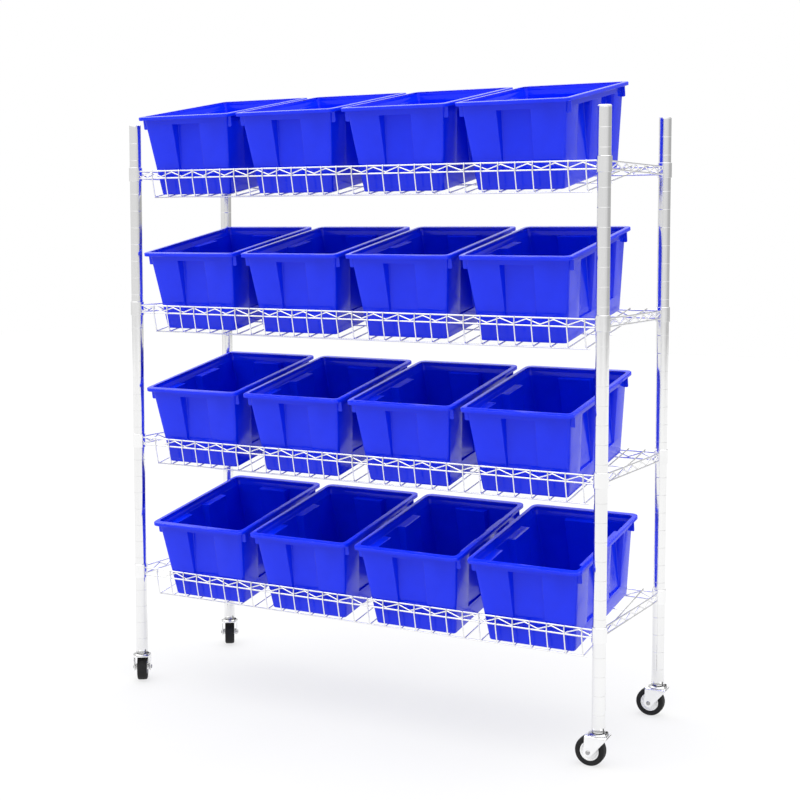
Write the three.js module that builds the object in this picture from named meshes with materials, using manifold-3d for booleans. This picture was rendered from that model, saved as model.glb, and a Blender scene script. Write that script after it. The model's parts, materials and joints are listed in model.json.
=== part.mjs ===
// A wheeled wire shelf cart: four posts on swivel casters carry four slanted wire
// shelves, and each shelf holds a row of four open totes that slope towards the front.
// Millimetres. +X runs along the cart to its right end, -Y is its low front, +Z is up.
import * as THREE from "three";
import { mergeVertices } from "three/addons/utils/BufferGeometryUtils.js";
import Module from "manifold-3d";

const wasm = await Module();
wasm.setup();

// Posts. The pitches are between the post axes.
const POST_PITCH_X = 1490;
const POST_PITCH_Y = 458;
const POST_RADIUS = 17.5;
const POST_WALL = 1.8;
const POST_BOTTOM = 90;
const POST_LENGTH = 1600;
const CAP_THICKNESS = 3.2;
const CAP_PLUG_DEPTH = 14;

// Shelves. A shelf's height is that of its top rim wire.
const SHELF_COUNT = 4;
const SHELF_FIRST = 355;
const SHELF_STEP = 400;
const RIM_WIRE = 5;
const RIM_DROP = 21;
const ZIGZAG_WIRE = 4;
const ZIGZAG_HALF_PERIODS_X = 19; // from the middle of a long side to its collar
const ZIGZAG_HALF_PERIODS_Y = 6;
const COLLAR_ABOVE = 11;
const COLLAR_BELOW = 30;
const COLLAR_RADIUS_TOP = 20;
const COLLAR_RADIUS_BOTTOM = 20.6;
const WIRE_IN_COLLAR = 1.3; // how far a wire's end is let into the collar's wall

// The mat that hangs in the rim: it slopes from the back rim down to a fold below the
// front rim, then turns up as a low fence.
const MAT_WIRES = 29;
const MAT_PITCH = 49.2;
const MAT_WIRE = 3.8;
const MAT_OFFSET_X = 9; // the mat hangs a little right of the middle
const MAT_BACK_OVERHANG = 3;
const MAT_BACK_HEIGHT = 6; // the mat wires' back ends lie on top of the back rim
const FOLD_DEPTH = 76;
const FOLD_SETBACK = 8;
const FENCE_STRAIGHT = 24;
const CROSS_WIRE_OVERHANG = 8;
const FENCE_FOOT = 14; // how far the fence's wires run up the slope past the fold
const FOLD_CROSS_WIRE_AT = 0.02; // share of the slope, from the fold
const CROSS_WIRES_AT = [0.36, 0.68];
const WELD_DEPTH = 0.6;

// Totes. The rim is the widest part, and the walls taper in towards the floor.
const TOTES_PER_SHELF = 4;
const TOTE_PITCH = 349;
const TOTE_WIDTH = 324;
const TOTE_LENGTH = 452;
const TOTE_HEIGHT = 234;
const TOTE_WALL = 3;
const TOTE_LIP = 10;
const TOTE_LIP_OUT_SIDE = 13;
const TOTE_LIP_OUT_END = 19;
const TOTE_TAPER_SIDE = 25;
const TOTE_TAPER_END = 10;
const TOTE_CORNER = 22;
const TOTE_ROW_SEAT = [210, 218, 227, 219]; // from the fold to the middle of each row's totes
const TOTE_ROW_SHIFT = [22, -4, -15, -23]; // where each row stands along its shelf, from the lowest

// Swivel casters. A caster trails along its own -X until it is turned.
const WHEEL_RADIUS = 39.5;
const WHEEL_SIDES = 24;
const TYRE_WIDTH = 30;
const TYRE_INNER_RADIUS = 25.8;
const HUB_WEB_WIDTH = 24;
const HUB_BOSS_RADIUS = 9;
const TRAIL = 20;
const FORK_INNER = 23;
const FORK_PLATE = 2.5;
const CROWN_BOTTOM = 81;
const CROWN_FRONT = 28;
const CROWN_BACK = 30;
const RACEWAY_RADIUS_BOTTOM = 27;
const RACEWAY_RADIUS_TOP = 18;
const STEM_RADIUS = 5.5;
const STEM_FLANGE_RADIUS = 10;
const STEM_HEAD_RADIUS = 8;
const STEM_HEAD_THICKNESS = 2;
const STEM_PLUG_LENGTH = 42;
const AXLE_RADIUS = 4;
const RIVET_HEAD_RADIUS = 6;
const RIVET_HEAD_THICKNESS = 3;
const CASTER_TURNS = { front_left: -55, back_left: -55, front_right: 4, back_right: 4 };

const GAP = 0.35; // clearance kept between neighbouring pieces
const RUNNING_GAP = 0.6; // clearance of pieces that turn on each other
const ROUND_SIDES = 12;
const FACET_TURN = Math.PI / ROUND_SIDES; // puts flats, not edges, towards the neighbours

const MATERIALS = {
  chrome: { color: 0xd9dbde, roughness: 0.12, metalness: 1 },
  cap: { color: 0xe4e5e7, roughness: 0.3, metalness: 0.4 },
  zinc: { color: 0xbfc2c6, roughness: 0.3, metalness: 1 },
  tote: { color: 0x1826d4, roughness: 0.25, metalness: 0 },
  hub: { color: 0xeeeef0, roughness: 0.35, metalness: 0 },
  tyre: { color: 0x2c2c2e, roughness: 0.7, metalness: 0 },
};

function named(name, geometry, finish) {
  const mesh = new THREE.Mesh(geometry, new THREE.MeshStandardMaterial(MATERIALS[finish]));
  mesh.name = name;
  return mesh;
}

// Only positions with shared corners, as the boolean library needs them.
function bare(geometry) {
  const copy = geometry.clone();
  copy.deleteAttribute("normal");
  copy.deleteAttribute("uv");
  return mergeVertices(copy, 1e-4);
}

function toSolid(geometry) {
  const merged = bare(geometry);
  return new wasm.Manifold(
    new wasm.Mesh({
      numProp: 3,
      vertProperties: new Float32Array(merged.attributes.position.array),
      triVerts: new Uint32Array(merged.index.array),
    }),
  );
}

function fromSolid(solid) {
  const { vertProperties, triVerts } = solid.getMesh();
  const geometry = new THREE.BufferGeometry();
  geometry.setAttribute("position", new THREE.BufferAttribute(vertProperties, 3));
  geometry.setIndex(new THREE.BufferAttribute(triVerts, 1));
  return geometry;
}

function joined(geometries) {
  return fromSolid(geometries.map(toSolid).reduce((whole, piece) => whole.add(piece)));
}

// A solid of revolution about Z. The profile holds [radius, height] pairs that go up the
// outside, from axis to axis, or all the way round a ring.
function turned(profile, sides = ROUND_SIDES, turn = FACET_TURN) {
  const points = profile.map(([radius, height]) => new THREE.Vector2(radius, height));
  const lathe = new THREE.LatheGeometry(points, sides);
  return bare(lathe).rotateX(Math.PI / 2).rotateZ(turn);
}

// A ring profile of a straight tube.
function tubeProfile(inner, outer, low, high) {
  return [[inner, low], [outer, low], [outer, high], [inner, high], [inner, low]];
}

// An outline drawn as [a, b] pairs, with a along X and b along Y, thickened by `depth` about its plane.
function plate(outline, depth, holes = []) {
  const shape = new THREE.Shape(outline.map(([a, b]) => new THREE.Vector2(a, b)));
  shape.holes = holes;
  const geometry = new THREE.ExtrudeGeometry(shape, { depth, bevelEnabled: false });
  return geometry.translate(0, 0, -depth / 2);
}

// A hole for a plate, whose flats are `radius` from its middle.
function roundHole(x, y, radius) {
  const reach = radius / Math.cos(FACET_TURN);
  const corners = Array.from({ length: ROUND_SIDES }, (_, i) => {
    const angle = (2 * i + 1) * FACET_TURN;
    return new THREE.Vector2(x + reach * Math.cos(angle), y + reach * Math.sin(angle));
  });
  return new THREE.Path(corners);
}

// A plate that stands up: its outline has a along X, or along Y, and b along Z.
const standingAcross = (outline, depth) => plate(outline, depth).rotateX(Math.PI / 2);
const standingAlong = (outline, depth) => standingAcross(outline, depth).rotateZ(Math.PI / 2);

// The outline of a strip of the given width along a polyline, mitred at its corners.
function strip(line, width) {
  const points = line.map(([a, b]) => new THREE.Vector2(a, b));
  const sides = points.map((point, i) => {
    const next = points[i + 1] ?? point.clone().multiplyScalar(2).sub(points[i - 1]);
    const last = points[i - 1] ?? point.clone().multiplyScalar(2).sub(next);
    const ahead = next.clone().sub(point).normalize();
    const along = point.clone().sub(last).normalize().add(ahead).normalize();
    const reach = width / 2 / along.dot(ahead);
    return [point.x - along.y * reach, point.y + along.x * reach,
      point.x + along.y * reach, point.y - along.x * reach];
  });
  return [...sides.map(([, , x, y]) => [x, y]), ...sides.map(([x, y]) => [x, y]).reverse()];
}

function bar(sizeX, sizeY, sizeZ, x, y, z) {
  return new THREE.BoxGeometry(sizeX, sizeY, sizeZ).translate(x, y, z);
}

const CORNERS = [
  ["front_left", -1, -1],
  ["front_right", 1, -1],
  ["back_left", -1, 1],
  ["back_right", 1, 1],
].map(([name, sideX, sideY]) => ({
  name, sideX, sideY, x: (sideX * POST_PITCH_X) / 2, y: (sideY * POST_PITCH_Y) / 2,
}));

// ---- posts ----

function postGeometry() {
  return turned(tubeProfile(POST_RADIUS - POST_WALL, POST_RADIUS, POST_BOTTOM, POST_BOTTOM + POST_LENGTH));
}

// A press-in cap: a disc over the tube's end on a short plug.
function capGeometry() {
  const seat = POST_BOTTOM + POST_LENGTH + GAP;
  const plug = POST_RADIUS - POST_WALL - GAP;
  return turned([
    [0, seat - CAP_PLUG_DEPTH],
    [plug, seat - CAP_PLUG_DEPTH],
    [plug, seat],
    [POST_RADIUS, seat],
    [POST_RADIUS, seat + CAP_THICKNESS],
    [0, seat + CAP_THICKNESS],
  ]);
}

// ---- shelf rims ----

// The top, zigzag and bottom wires of one side, standing in the XZ plane and centred on it.
function trussParts(halfLength, halfPeriods) {
  const halfPeriod = halfLength / halfPeriods;
  const crest = -RIM_WIRE / 2 - GAP - ZIGZAG_WIRE * 0.56;
  const trough = -RIM_DROP - crest;
  const line = [];
  for (let k = -halfPeriods; k <= halfPeriods; k++) {
    line.push([k * halfPeriod, k % 2 === 0 ? crest : trough]);
  }
  return [
    bar(2 * halfLength, RIM_WIRE, RIM_WIRE, 0, 0, 0),
    bar(2 * halfLength, RIM_WIRE, RIM_WIRE, 0, 0, -RIM_DROP),
    standingAcross(strip(line, ZIGZAG_WIRE), ZIGZAG_WIRE),
  ];
}

function collarGeometry() {
  const bore = POST_RADIUS + GAP + 0.1;
  return turned([
    [bore, -COLLAR_BELOW],
    [COLLAR_RADIUS_BOTTOM, -COLLAR_BELOW],
    [COLLAR_RADIUS_TOP, COLLAR_ABOVE],
    [bore, COLLAR_ABOVE],
    [bore, -COLLAR_BELOW],
  ]);
}

// Four trusses and four corner collars, with the top wires at height 0.
function rimGeometry() {
  const collarFace = COLLAR_RADIUS_TOP * Math.cos(FACET_TURN) - WIRE_IN_COLLAR;
  const parts = [];
  for (const side of [-1, 1]) {
    for (const piece of trussParts(POST_PITCH_X / 2 - collarFace, ZIGZAG_HALF_PERIODS_X)) {
      parts.push(piece.translate(0, (side * POST_PITCH_Y) / 2, 0));
    }
    for (const piece of trussParts(POST_PITCH_Y / 2 - collarFace, ZIGZAG_HALF_PERIODS_Y)) {
      parts.push(piece.rotateZ(Math.PI / 2).translate((side * POST_PITCH_X) / 2, 0, 0));
    }
  }
  for (const { x, y } of CORNERS) parts.push(collarGeometry().translate(x, y, 0));
  return joined(parts);
}

// ---- shelf mats ----

// The slope runs from the fold, up and back, to just over the back rim's top wire.
const FOLD = { y: -POST_PITCH_Y / 2 + FOLD_SETBACK, z: -FOLD_DEPTH };
const MAT_BACK = { y: POST_PITCH_Y / 2 + MAT_BACK_OVERHANG, z: MAT_BACK_HEIGHT };
const SLOPE = Math.atan2(MAT_BACK.z - FOLD.z, MAT_BACK.y - FOLD.y);
const SLOPE_LENGTH = Math.hypot(MAT_BACK.z - FOLD.z, MAT_BACK.y - FOLD.y);
const FENCE_Y = -POST_PITCH_Y / 2 - RIM_WIRE / 2 - GAP - MAT_WIRE / 2;

// A point a given way up the slope from the fold and off it, in the shelf's frame.
function onSlope(along, above) {
  return {
    y: FOLD.y + along * Math.cos(SLOPE) - above * Math.sin(SLOPE),
    z: FOLD.z + along * Math.sin(SLOPE) + above * Math.cos(SLOPE),
  };
}

// Square wires side by side along the shelf, all bent like the line.
function wireRow(line) {
  return Array.from({ length: MAT_WIRES }, (_, i) => {
    const wire = standingAlong(strip(line, MAT_WIRE), MAT_WIRE);
    return wire.translate((i - (MAT_WIRES - 1) / 2) * MAT_PITCH, 0, 0);
  });
}

// A wire along the shelf under the slope. It is let into every mat wire when `welded`, and
// otherwise just clears them.
function crossWire(share, welded) {
  const length = (MAT_WIRES - 1) * MAT_PITCH + 2 * CROSS_WIRE_OVERHANG;
  const { y, z } = onSlope(share * SLOPE_LENGTH, -MAT_WIRE + (welded ? WELD_DEPTH : -GAP));
  return new THREE.BoxGeometry(length, MAT_WIRE, MAT_WIRE).rotateX(SLOPE).translate(0, y, z);
}

// A short block that ties a cross wire to an outermost mat wire.
function endWeld(share, side) {
  const { y, z } = onSlope(share * SLOPE_LENGTH, -MAT_WIRE / 2);
  const x = (side * (MAT_WIRES - 1) * MAT_PITCH) / 2;
  return new THREE.BoxGeometry(MAT_WIRE / 2, MAT_WIRE / 2, MAT_WIRE).rotateX(SLOPE).translate(x, y, z);
}

// The fence: every wire passes in front of both rim wires, leans back to the fold and turns up
// the slope. The mat's own wires go on from there to the back rim.
function fenceGeometry() {
  const foot = onSlope(FENCE_FOOT, 0);
  const line = [[FENCE_Y, RIM_WIRE / 2], [FENCE_Y, -FENCE_STRAIGHT], [FOLD.y, FOLD.z],
    [foot.y, foot.z]];
  return joined([crossWire(FOLD_CROSS_WIRE_AT, true), ...wireRow(line)]).translate(MAT_OFFSET_X, 0, 0);
}

function matGeometry() {
  const start = onSlope(FENCE_FOOT + GAP, 0);
  const parts = CROSS_WIRES_AT.map((share, i) => crossWire(share, i === 0));
  for (const share of CROSS_WIRES_AT.slice(1)) {
    for (const side of [-1, 1]) parts.push(endWeld(share, side));
  }
  parts.push(...wireRow([[start.y, start.z], [MAT_BACK.y, MAT_BACK.z]]));
  return joined(parts).translate(MAT_OFFSET_X, 0, 0);
}

// ---- totes ----

// A rectangle with cut corners, seen from above and drawn counter-clockwise.
function cutRectangle(width, length, corner, height) {
  const x = width / 2;
  const y = length / 2;
  return [
    [x, y - corner], [x - corner, y], [corner - x, y], [-x, y - corner],
    [-x, corner - y], [corner - x, -y], [x - corner, -y], [x, corner - y],
  ].map(([a, b]) => [a, b, height]);
}

// Skins a stack of rings with equal numbers of points, and closes its first and last ring.
function loft(rings) {
  const count = rings[0].length;
  const index = [];
  for (let ring = 0; ring + 1 < rings.length; ring++) {
    for (let i = 0; i < count; i++) {
      const j = (i + 1) % count;
      const low = ring * count;
      const high = low + count;
      index.push(low + i, low + j, high + j, low + i, high + j, high + i);
    }
  }
  const last = (rings.length - 1) * count;
  for (let i = 1; i + 1 < count; i++) {
    index.push(0, i + 1, i);
    index.push(last, last + i, last + i + 1);
  }
  const geometry = new THREE.BufferGeometry();
  geometry.setAttribute("position", new THREE.Float32BufferAttribute(rings.flat(2), 3));
  geometry.setIndex(index);
  return geometry;
}

// An open tote standing on its floor's centre: up the outside, over the lip, down the inside.
function toteGeometry() {
  const neckWidth = TOTE_WIDTH - 2 * TOTE_LIP_OUT_SIDE;
  const neckLength = TOTE_LENGTH - 2 * TOTE_LIP_OUT_END;
  const floorWidth = neckWidth - 2 * TOTE_TAPER_SIDE;
  const floorLength = neckLength - 2 * TOTE_TAPER_END;
  const wall = 2 * TOTE_WALL;
  return loft([
    cutRectangle(floorWidth, floorLength, TOTE_CORNER, 0),
    cutRectangle(neckWidth, neckLength, TOTE_CORNER, TOTE_HEIGHT - TOTE_LIP),
    cutRectangle(TOTE_WIDTH, TOTE_LENGTH, TOTE_CORNER, TOTE_HEIGHT - TOTE_LIP),
    cutRectangle(TOTE_WIDTH, TOTE_LENGTH, TOTE_CORNER, TOTE_HEIGHT),
    cutRectangle(neckWidth - wall, neckLength - wall, TOTE_CORNER, TOTE_HEIGHT),
    cutRectangle(floorWidth - wall, floorLength - wall, TOTE_CORNER, TOTE_WALL),
  ]);
}

function toteRow(shelf, height) {
  const row = new THREE.Group();
  const seat = onSlope(TOTE_ROW_SEAT[shelf], MAT_WIRE / 2 + GAP);
  for (let place = 0; place < TOTES_PER_SHELF; place++) {
    const tote = named(`tote_${shelf + 1}_${place + 1}`, toteGeometry(), "tote");
    const x = TOTE_ROW_SHIFT[shelf] + (place - (TOTES_PER_SHELF - 1) / 2) * TOTE_PITCH;
    tote.position.set(x, seat.y, height + seat.z);
    tote.rotation.x = SLOPE;
    row.add(tote);
  }
  return row;
}

// ---- casters ----

const FORK_TOP = CROWN_BOTTOM + FORK_PLATE;
const RACEWAY_BOTTOM = FORK_TOP + RUNNING_GAP;
const STEM_FLANGE_BOTTOM = POST_BOTTOM - 1;
const HUB_RADIUS = TYRE_INNER_RADIUS * Math.cos(Math.PI / WHEEL_SIDES) - GAP;
const AXLE_HALF_LENGTH = FORK_INNER + FORK_PLATE + GAP;

// The stem: a riveted head under the fork, a shank, a flange under the post, and the
// expanding plug inside it.
function stemGeometry() {
  const headTop = CROWN_BOTTOM - RUNNING_GAP;
  const plugBottom = POST_BOTTOM + GAP;
  const plug = POST_RADIUS - POST_WALL - GAP;
  return turned([
    [0, headTop - STEM_HEAD_THICKNESS],
    [STEM_HEAD_RADIUS, headTop - STEM_HEAD_THICKNESS],
    [STEM_HEAD_RADIUS, headTop],
    [STEM_RADIUS, headTop],
    [STEM_RADIUS, STEM_FLANGE_BOTTOM],
    [STEM_FLANGE_RADIUS, STEM_FLANGE_BOTTOM],
    [STEM_FLANGE_RADIUS, plugBottom],
    [plug, plugBottom],
    [plug, plugBottom + STEM_PLUG_LENGTH],
    [0, plugBottom + STEM_PLUG_LENGTH],
  ]);
}

// The fixed upper half of the swivel bearing, a coned ring round the stem.
function racewayGeometry() {
  const bore = STEM_RADIUS + RUNNING_GAP;
  const top = STEM_FLANGE_BOTTOM - GAP;
  return turned([
    [bore, RACEWAY_BOTTOM],
    [RACEWAY_RADIUS_BOTTOM, RACEWAY_BOTTOM],
    [RACEWAY_RADIUS_TOP, top],
    [bore, top],
    [bore, RACEWAY_BOTTOM],
  ]);
}

// One fork leg, seen from the side: straight at the back, raked at the front, and rounded
// under the axle.
function forkLeg(side) {
  const round = 12;
  const outline = [[-CROWN_BACK, FORK_TOP], [-TRAIL - round, WHEEL_RADIUS]];
  for (const degrees of [240, 270, 300, 330]) {
    const angle = (degrees * Math.PI) / 180;
    outline.push([-TRAIL + round * Math.cos(angle), WHEEL_RADIUS + round * Math.sin(angle)]);
  }
  outline.push([6, WHEEL_RADIUS + round], [CROWN_FRONT, CROWN_BOTTOM], [CROWN_FRONT, FORK_TOP]);
  const hole = roundHole(-TRAIL, WHEEL_RADIUS, AXLE_RADIUS + GAP);
  const leg = plate(outline, FORK_PLATE, [hole]).rotateX(Math.PI / 2);
  return leg.translate(0, side * (FORK_INNER + FORK_PLATE / 2), 0);
}

function crownGeometry() {
  const halfWidth = FORK_INNER + FORK_PLATE;
  const outline = [[-CROWN_BACK, -halfWidth], [CROWN_FRONT, -halfWidth], [CROWN_FRONT, halfWidth],
    [-CROWN_BACK, halfWidth]];
  const hole = roundHole(0, 0, STEM_RADIUS + RUNNING_GAP);
  return plate(outline, FORK_PLATE, [hole]).translate(0, 0, CROWN_BOTTOM + FORK_PLATE / 2);
}

// What turns on the axle is made about Z, then laid along Y with the wheel's centre at the
// origin.
const laid = (geometry) => geometry.rotateX(Math.PI / 2);

function tyreGeometry() {
  const half = TYRE_WIDTH / 2;
  const outer = WHEEL_RADIUS / Math.cos(Math.PI / WHEEL_SIDES);
  const profile = tubeProfile(TYRE_INNER_RADIUS, outer, -half, half);
  return laid(turned(profile, WHEEL_SIDES, Math.PI / WHEEL_SIDES));
}

function hubGeometry() {
  const web = HUB_WEB_WIDTH / 2;
  const boss = FORK_INNER - RUNNING_GAP;
  const bore = AXLE_RADIUS + GAP;
  const profile = [[bore, -boss], [HUB_BOSS_RADIUS, -boss], [HUB_BOSS_RADIUS, -web],
    [HUB_RADIUS, -web], [HUB_RADIUS, web], [HUB_BOSS_RADIUS, web], [HUB_BOSS_RADIUS, boss],
    [bore, boss], [bore, -boss]];
  return laid(turned(profile));
}

// The axle is a rivet with a head outside each leg.
function axleGeometry() {
  const end = AXLE_HALF_LENGTH + RIVET_HEAD_THICKNESS;
  return laid(turned([[0, -end], [RIVET_HEAD_RADIUS, -end], [RIVET_HEAD_RADIUS, -AXLE_HALF_LENGTH],
    [AXLE_RADIUS, -AXLE_HALF_LENGTH], [AXLE_RADIUS, AXLE_HALF_LENGTH],
    [RIVET_HEAD_RADIUS, AXLE_HALF_LENGTH], [RIVET_HEAD_RADIUS, end], [0, end]]));
}

function caster({ name, x, y }) {
  const place = (part) => `caster_${name}_${part}`;
  const swivel = new THREE.Group();
  swivel.rotation.z = THREE.MathUtils.degToRad(CASTER_TURNS[name]);
  swivel.add(named(place("fork"), joined([crownGeometry(), forkLeg(-1), forkLeg(1)]), "chrome"));
  const wheel = new THREE.Group();
  wheel.position.set(-TRAIL, 0, WHEEL_RADIUS);
  wheel.add(
    named(place("axle"), axleGeometry(), "zinc"),
    named(place("hub"), hubGeometry(), "hub"),
    named(place("tyre"), tyreGeometry(), "tyre"),
  );
  swivel.add(wheel);
  const whole = new THREE.Group();
  whole.position.set(x, y, 0);
  whole.add(
    named(place("stem"), stemGeometry(), "chrome"),
    named(place("raceway"), racewayGeometry(), "zinc"),
    swivel,
  );
  return whole;
}

// ---- the whole cart ----

const cart = new THREE.Group();

for (const corner of CORNERS) {
  const post = named(`post_${corner.name}`, postGeometry(), "chrome");
  const cap = named(`cap_${corner.name}`, capGeometry(), "cap");
  for (const piece of [post, cap]) piece.position.set(corner.x, corner.y, 0);
  cart.add(post, cap, caster(corner));
}

for (let shelf = 0; shelf < SHELF_COUNT; shelf++) {
  const height = SHELF_FIRST + shelf * SHELF_STEP;
  const rim = named(`shelf_${shelf + 1}_rim`, rimGeometry(), "chrome");
  const mat = named(`shelf_${shelf + 1}_mat`, matGeometry(), "chrome");
  const fence = named(`shelf_${shelf + 1}_fence`, fenceGeometry(), "chrome");
  for (const piece of [rim, mat, fence]) piece.position.z = height;
  cart.add(rim, mat, fence, toteRow(shelf, height));
}

// The origin is on the floor, under the middle of the cart's bounding box.
const bounds = new THREE.Box3().setFromObject(cart, true);
const middle = bounds.getCenter(new THREE.Vector3());
cart.position.set(-middle.x, -middle.y, -bounds.min.z);

export default cart;
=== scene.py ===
"""A wheeled wire shelf cart with slanted shelves and open totes: its looks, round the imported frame.

Everything is in metres, in the frame's own axes: +X along the cart to its right end, -Y its low
front, +Z up. Places come from the boxes of the CAD nodes, and lengths written in millimetres are
multiplied by MM.
"""

import json
import math

import bpy
from mathutils import Matrix, Vector


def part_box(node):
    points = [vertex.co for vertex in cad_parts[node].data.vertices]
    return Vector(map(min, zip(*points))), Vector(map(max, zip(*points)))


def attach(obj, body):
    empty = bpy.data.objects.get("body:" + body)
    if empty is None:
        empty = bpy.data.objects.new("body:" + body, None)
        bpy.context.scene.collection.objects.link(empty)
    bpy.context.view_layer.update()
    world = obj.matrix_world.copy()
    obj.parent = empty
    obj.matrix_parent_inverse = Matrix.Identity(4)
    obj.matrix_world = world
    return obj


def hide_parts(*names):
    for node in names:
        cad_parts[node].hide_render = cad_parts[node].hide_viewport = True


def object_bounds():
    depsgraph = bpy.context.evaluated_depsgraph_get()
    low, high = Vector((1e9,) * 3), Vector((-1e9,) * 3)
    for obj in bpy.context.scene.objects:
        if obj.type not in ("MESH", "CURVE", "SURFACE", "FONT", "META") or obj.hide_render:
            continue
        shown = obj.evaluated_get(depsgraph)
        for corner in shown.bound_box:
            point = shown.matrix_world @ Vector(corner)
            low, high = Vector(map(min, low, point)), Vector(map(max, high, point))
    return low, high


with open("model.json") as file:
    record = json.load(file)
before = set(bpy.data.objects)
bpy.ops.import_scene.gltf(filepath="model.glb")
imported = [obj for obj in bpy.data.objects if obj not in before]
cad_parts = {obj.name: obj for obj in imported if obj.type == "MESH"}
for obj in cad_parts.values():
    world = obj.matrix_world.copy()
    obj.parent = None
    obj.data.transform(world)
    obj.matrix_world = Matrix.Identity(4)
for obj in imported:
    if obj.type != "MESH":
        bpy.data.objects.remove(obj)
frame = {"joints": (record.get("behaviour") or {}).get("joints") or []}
cad_low, cad_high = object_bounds()

MM = 0.001
CORNERS = ("front_left", "front_right", "back_left", "back_right")
SHELVES = range(1, 5)
PLACES = range(1, 5)

# Posts
POST_RADIUS = 17.5 * MM
POST_WALL = 1.8 * MM
GROOVE_FIRST = 47 * MM
GROOVE_PITCH = 50 * MM
GROOVE_COUNT = 32
GROOVE_HALF_WIDTH = 0.7 * MM
GROOVE_DEPTH = 0.25 * MM
GROOVE_LEAD = 0.2 * MM  # rounds the groove's edges
CAP_ROUND = 2.2 * MM

# Shelf wires
RIM_RADIUS = 2.5 * MM
RIM_DROP = 21 * MM
ZIGZAG_RADIUS = 2 * MM
ZIGZAG_HALF_PERIODS_X = 19
ZIGZAG_HALF_PERIODS_Y = 6
COLLAR_ABOVE = 11 * MM
COLLAR_BELOW = 30 * MM
COLLAR_RADIUS = 20 * MM
MAT_WIRES = 29
MAT_PITCH = 49.2 * MM
MAT_RADIUS = 1.9 * MM
FENCE_STRAIGHT = 24 * MM
FOLD_DEPTH = 76 * MM
FOLD_SETBACK = 8 * MM
MAT_BACK_OVERHANG = 3 * MM
MAT_BACK_HEIGHT = 5 * MM
CROSS_WIRES_AT = (0.02, 0.36, 0.68)
WELD = 0.5 * MM  # how far welded wires sink into each other

# Totes
TOTE_WIDTH = 324 * MM
TOTE_LENGTH = 452 * MM
TOTE_HEIGHT = 234 * MM
TOTE_WALL = 3 * MM
TOTE_LIP = 10 * MM
TOTE_LIP_OUT_SIDE = 13 * MM
TOTE_LIP_OUT_END = 19 * MM
TOTE_TAPER_SIDE = 25 * MM
TOTE_TAPER_END = 10 * MM
TOTE_CORNER = 11 * MM
LIP_CORNER = 23 * MM
OPENING_CORNER = 15 * MM
LIP_SKIRT = 2.6 * MM  # thickness of the lip's hanging edge
LIP_ROUND = 2.4 * MM
CHANNEL_WIDTH_TOP = 96 * MM
CHANNEL_WIDTH_FOOT = 88 * MM
CHANNEL_DEPTH_TOP = 25 * MM
CHANNEL_DEPTH_FOOT = 5 * MM
CHANNEL_TOP = 208 * MM
CHANNEL_FOOT = 50 * MM
CHANNEL_DRAFT = 3 * MM
CHANNEL_FILLET = 2.5 * MM
LEAST_CORNER = 3 * MM  # above the channels' fillet, which has fewer points
RIGHT_CHANNELS_AT = (-74 * MM, 88 * MM)
LEFT_CHANNELS_AT = (-128 * MM, 50 * MM)
GUSSET_THICKNESS = 3 * MM
GUSSET_HEIGHT = 29 * MM
GUSSET_OUT = 9 * MM
GUSSETS_AT = (-197 * MM, 189 * MM)

# Casters, with heights from the floor
WHEEL_RADIUS = 39.5 * MM
HUB_RADIUS = 25.2 * MM
TRAIL = 20 * MM
FORK_INNER = 23 * MM
FORK_PLATE = 2.5 * MM
CROWN_BOTTOM = 81 * MM
CROWN_FRONT = 28 * MM
CROWN_BACK = 30 * MM
LEG_ROUND = 12 * MM
POST_BOTTOM = 90 * MM
AXLE_RADIUS = 4 * MM
HUB_BORE = 4.3 * MM
HUB_BOSS_END = 8.5 * MM
HUB_END_GAP = 0.6 * MM
HUB_SEAT = 12.6 * MM
TREAD_HALF = 7.2 * MM
RACEWAY_LOW = CROWN_BOTTOM + FORK_PLATE + 0.5 * MM
RACEWAY_UNDER_POST = 1.4 * MM
RACEWAY_BORE = 6.1 * MM
# bore of the near-black ring under each post, which is painted shade for the dark gap between post and
# raceway
SHADE_RING_BORE = 10.4 * MM

# Turned profiles in millimetres: radius, then distance from the wheel's middle, or height
RIVET_HEAD = ((3.2, 3.0), (4.9, 2.6), (5.8, 1.5), (6.0, 0.3))  # distance from the fork's face
HUB_FACE = ((9.0, 21.8), (9.4, 10.2), (10.6, 9.4), (20.4, 9.4), (21.6, 10.2), (22.2, 12.4),
            (22.9, 13.0))
TYRE_FACE = ((25.4, 13.0), (26.6, 14.2), (28.4, 14.3), (29.0, 13.9), (29.8, 14.4), (34.6, 15.0),
             (36.6, 14.4), (38.2, 13.0), (39.1, 10.8))
NIPPLE = ((2.2, -1.5), (2.2, 4.6), (1.6, 5.2))
NIPPLE_CAP = ((2.9, 4.9), (3.4, 5.4), (3.4, 7.6), (2.6, 8.6), (0.9, 8.9))

# Studio
WORLD_DIM = 0.46
WORLD_BRIGHT = 0.80
WORLD_ZENITH = 2.9
WORLD_BRIGHT_TOWARDS = (-0.49, -0.87, 0.0)
BACKDROP_TOWARDS = (-0.52, 0.85, 0.0)
FLOOR_REACH = 12.0
FLOOR_GLOW = 0.71
SOFT_BOXES = (  # name, place, aim, size and watts
    ("key", (-2.6, -3.6, 3.6), (0, 0, 0.8), (2.2, 2.2), 12),
    ("fill", (4.2, -1.8, 2.2), (0, 0, 0.9), (2.5, 2.5), 6),
    ("top", (0, -0.3, 4.4), (0, 0, 0.6), (3.2, 2.4), 75),
)
CAMERA_FROM_MIDDLE = Vector((2.113, -3.746, 1.380))
CAMERA_AZIMUTH = 29.087
CAMERA_DOWN = 4.378
CAMERA_SHIFT = (0.00125, -0.0703)
CAMERA_LENS = 66.73
CAMERA_SENSOR = 36


# ---------------------------------------------------------------- mesh helpers

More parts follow.
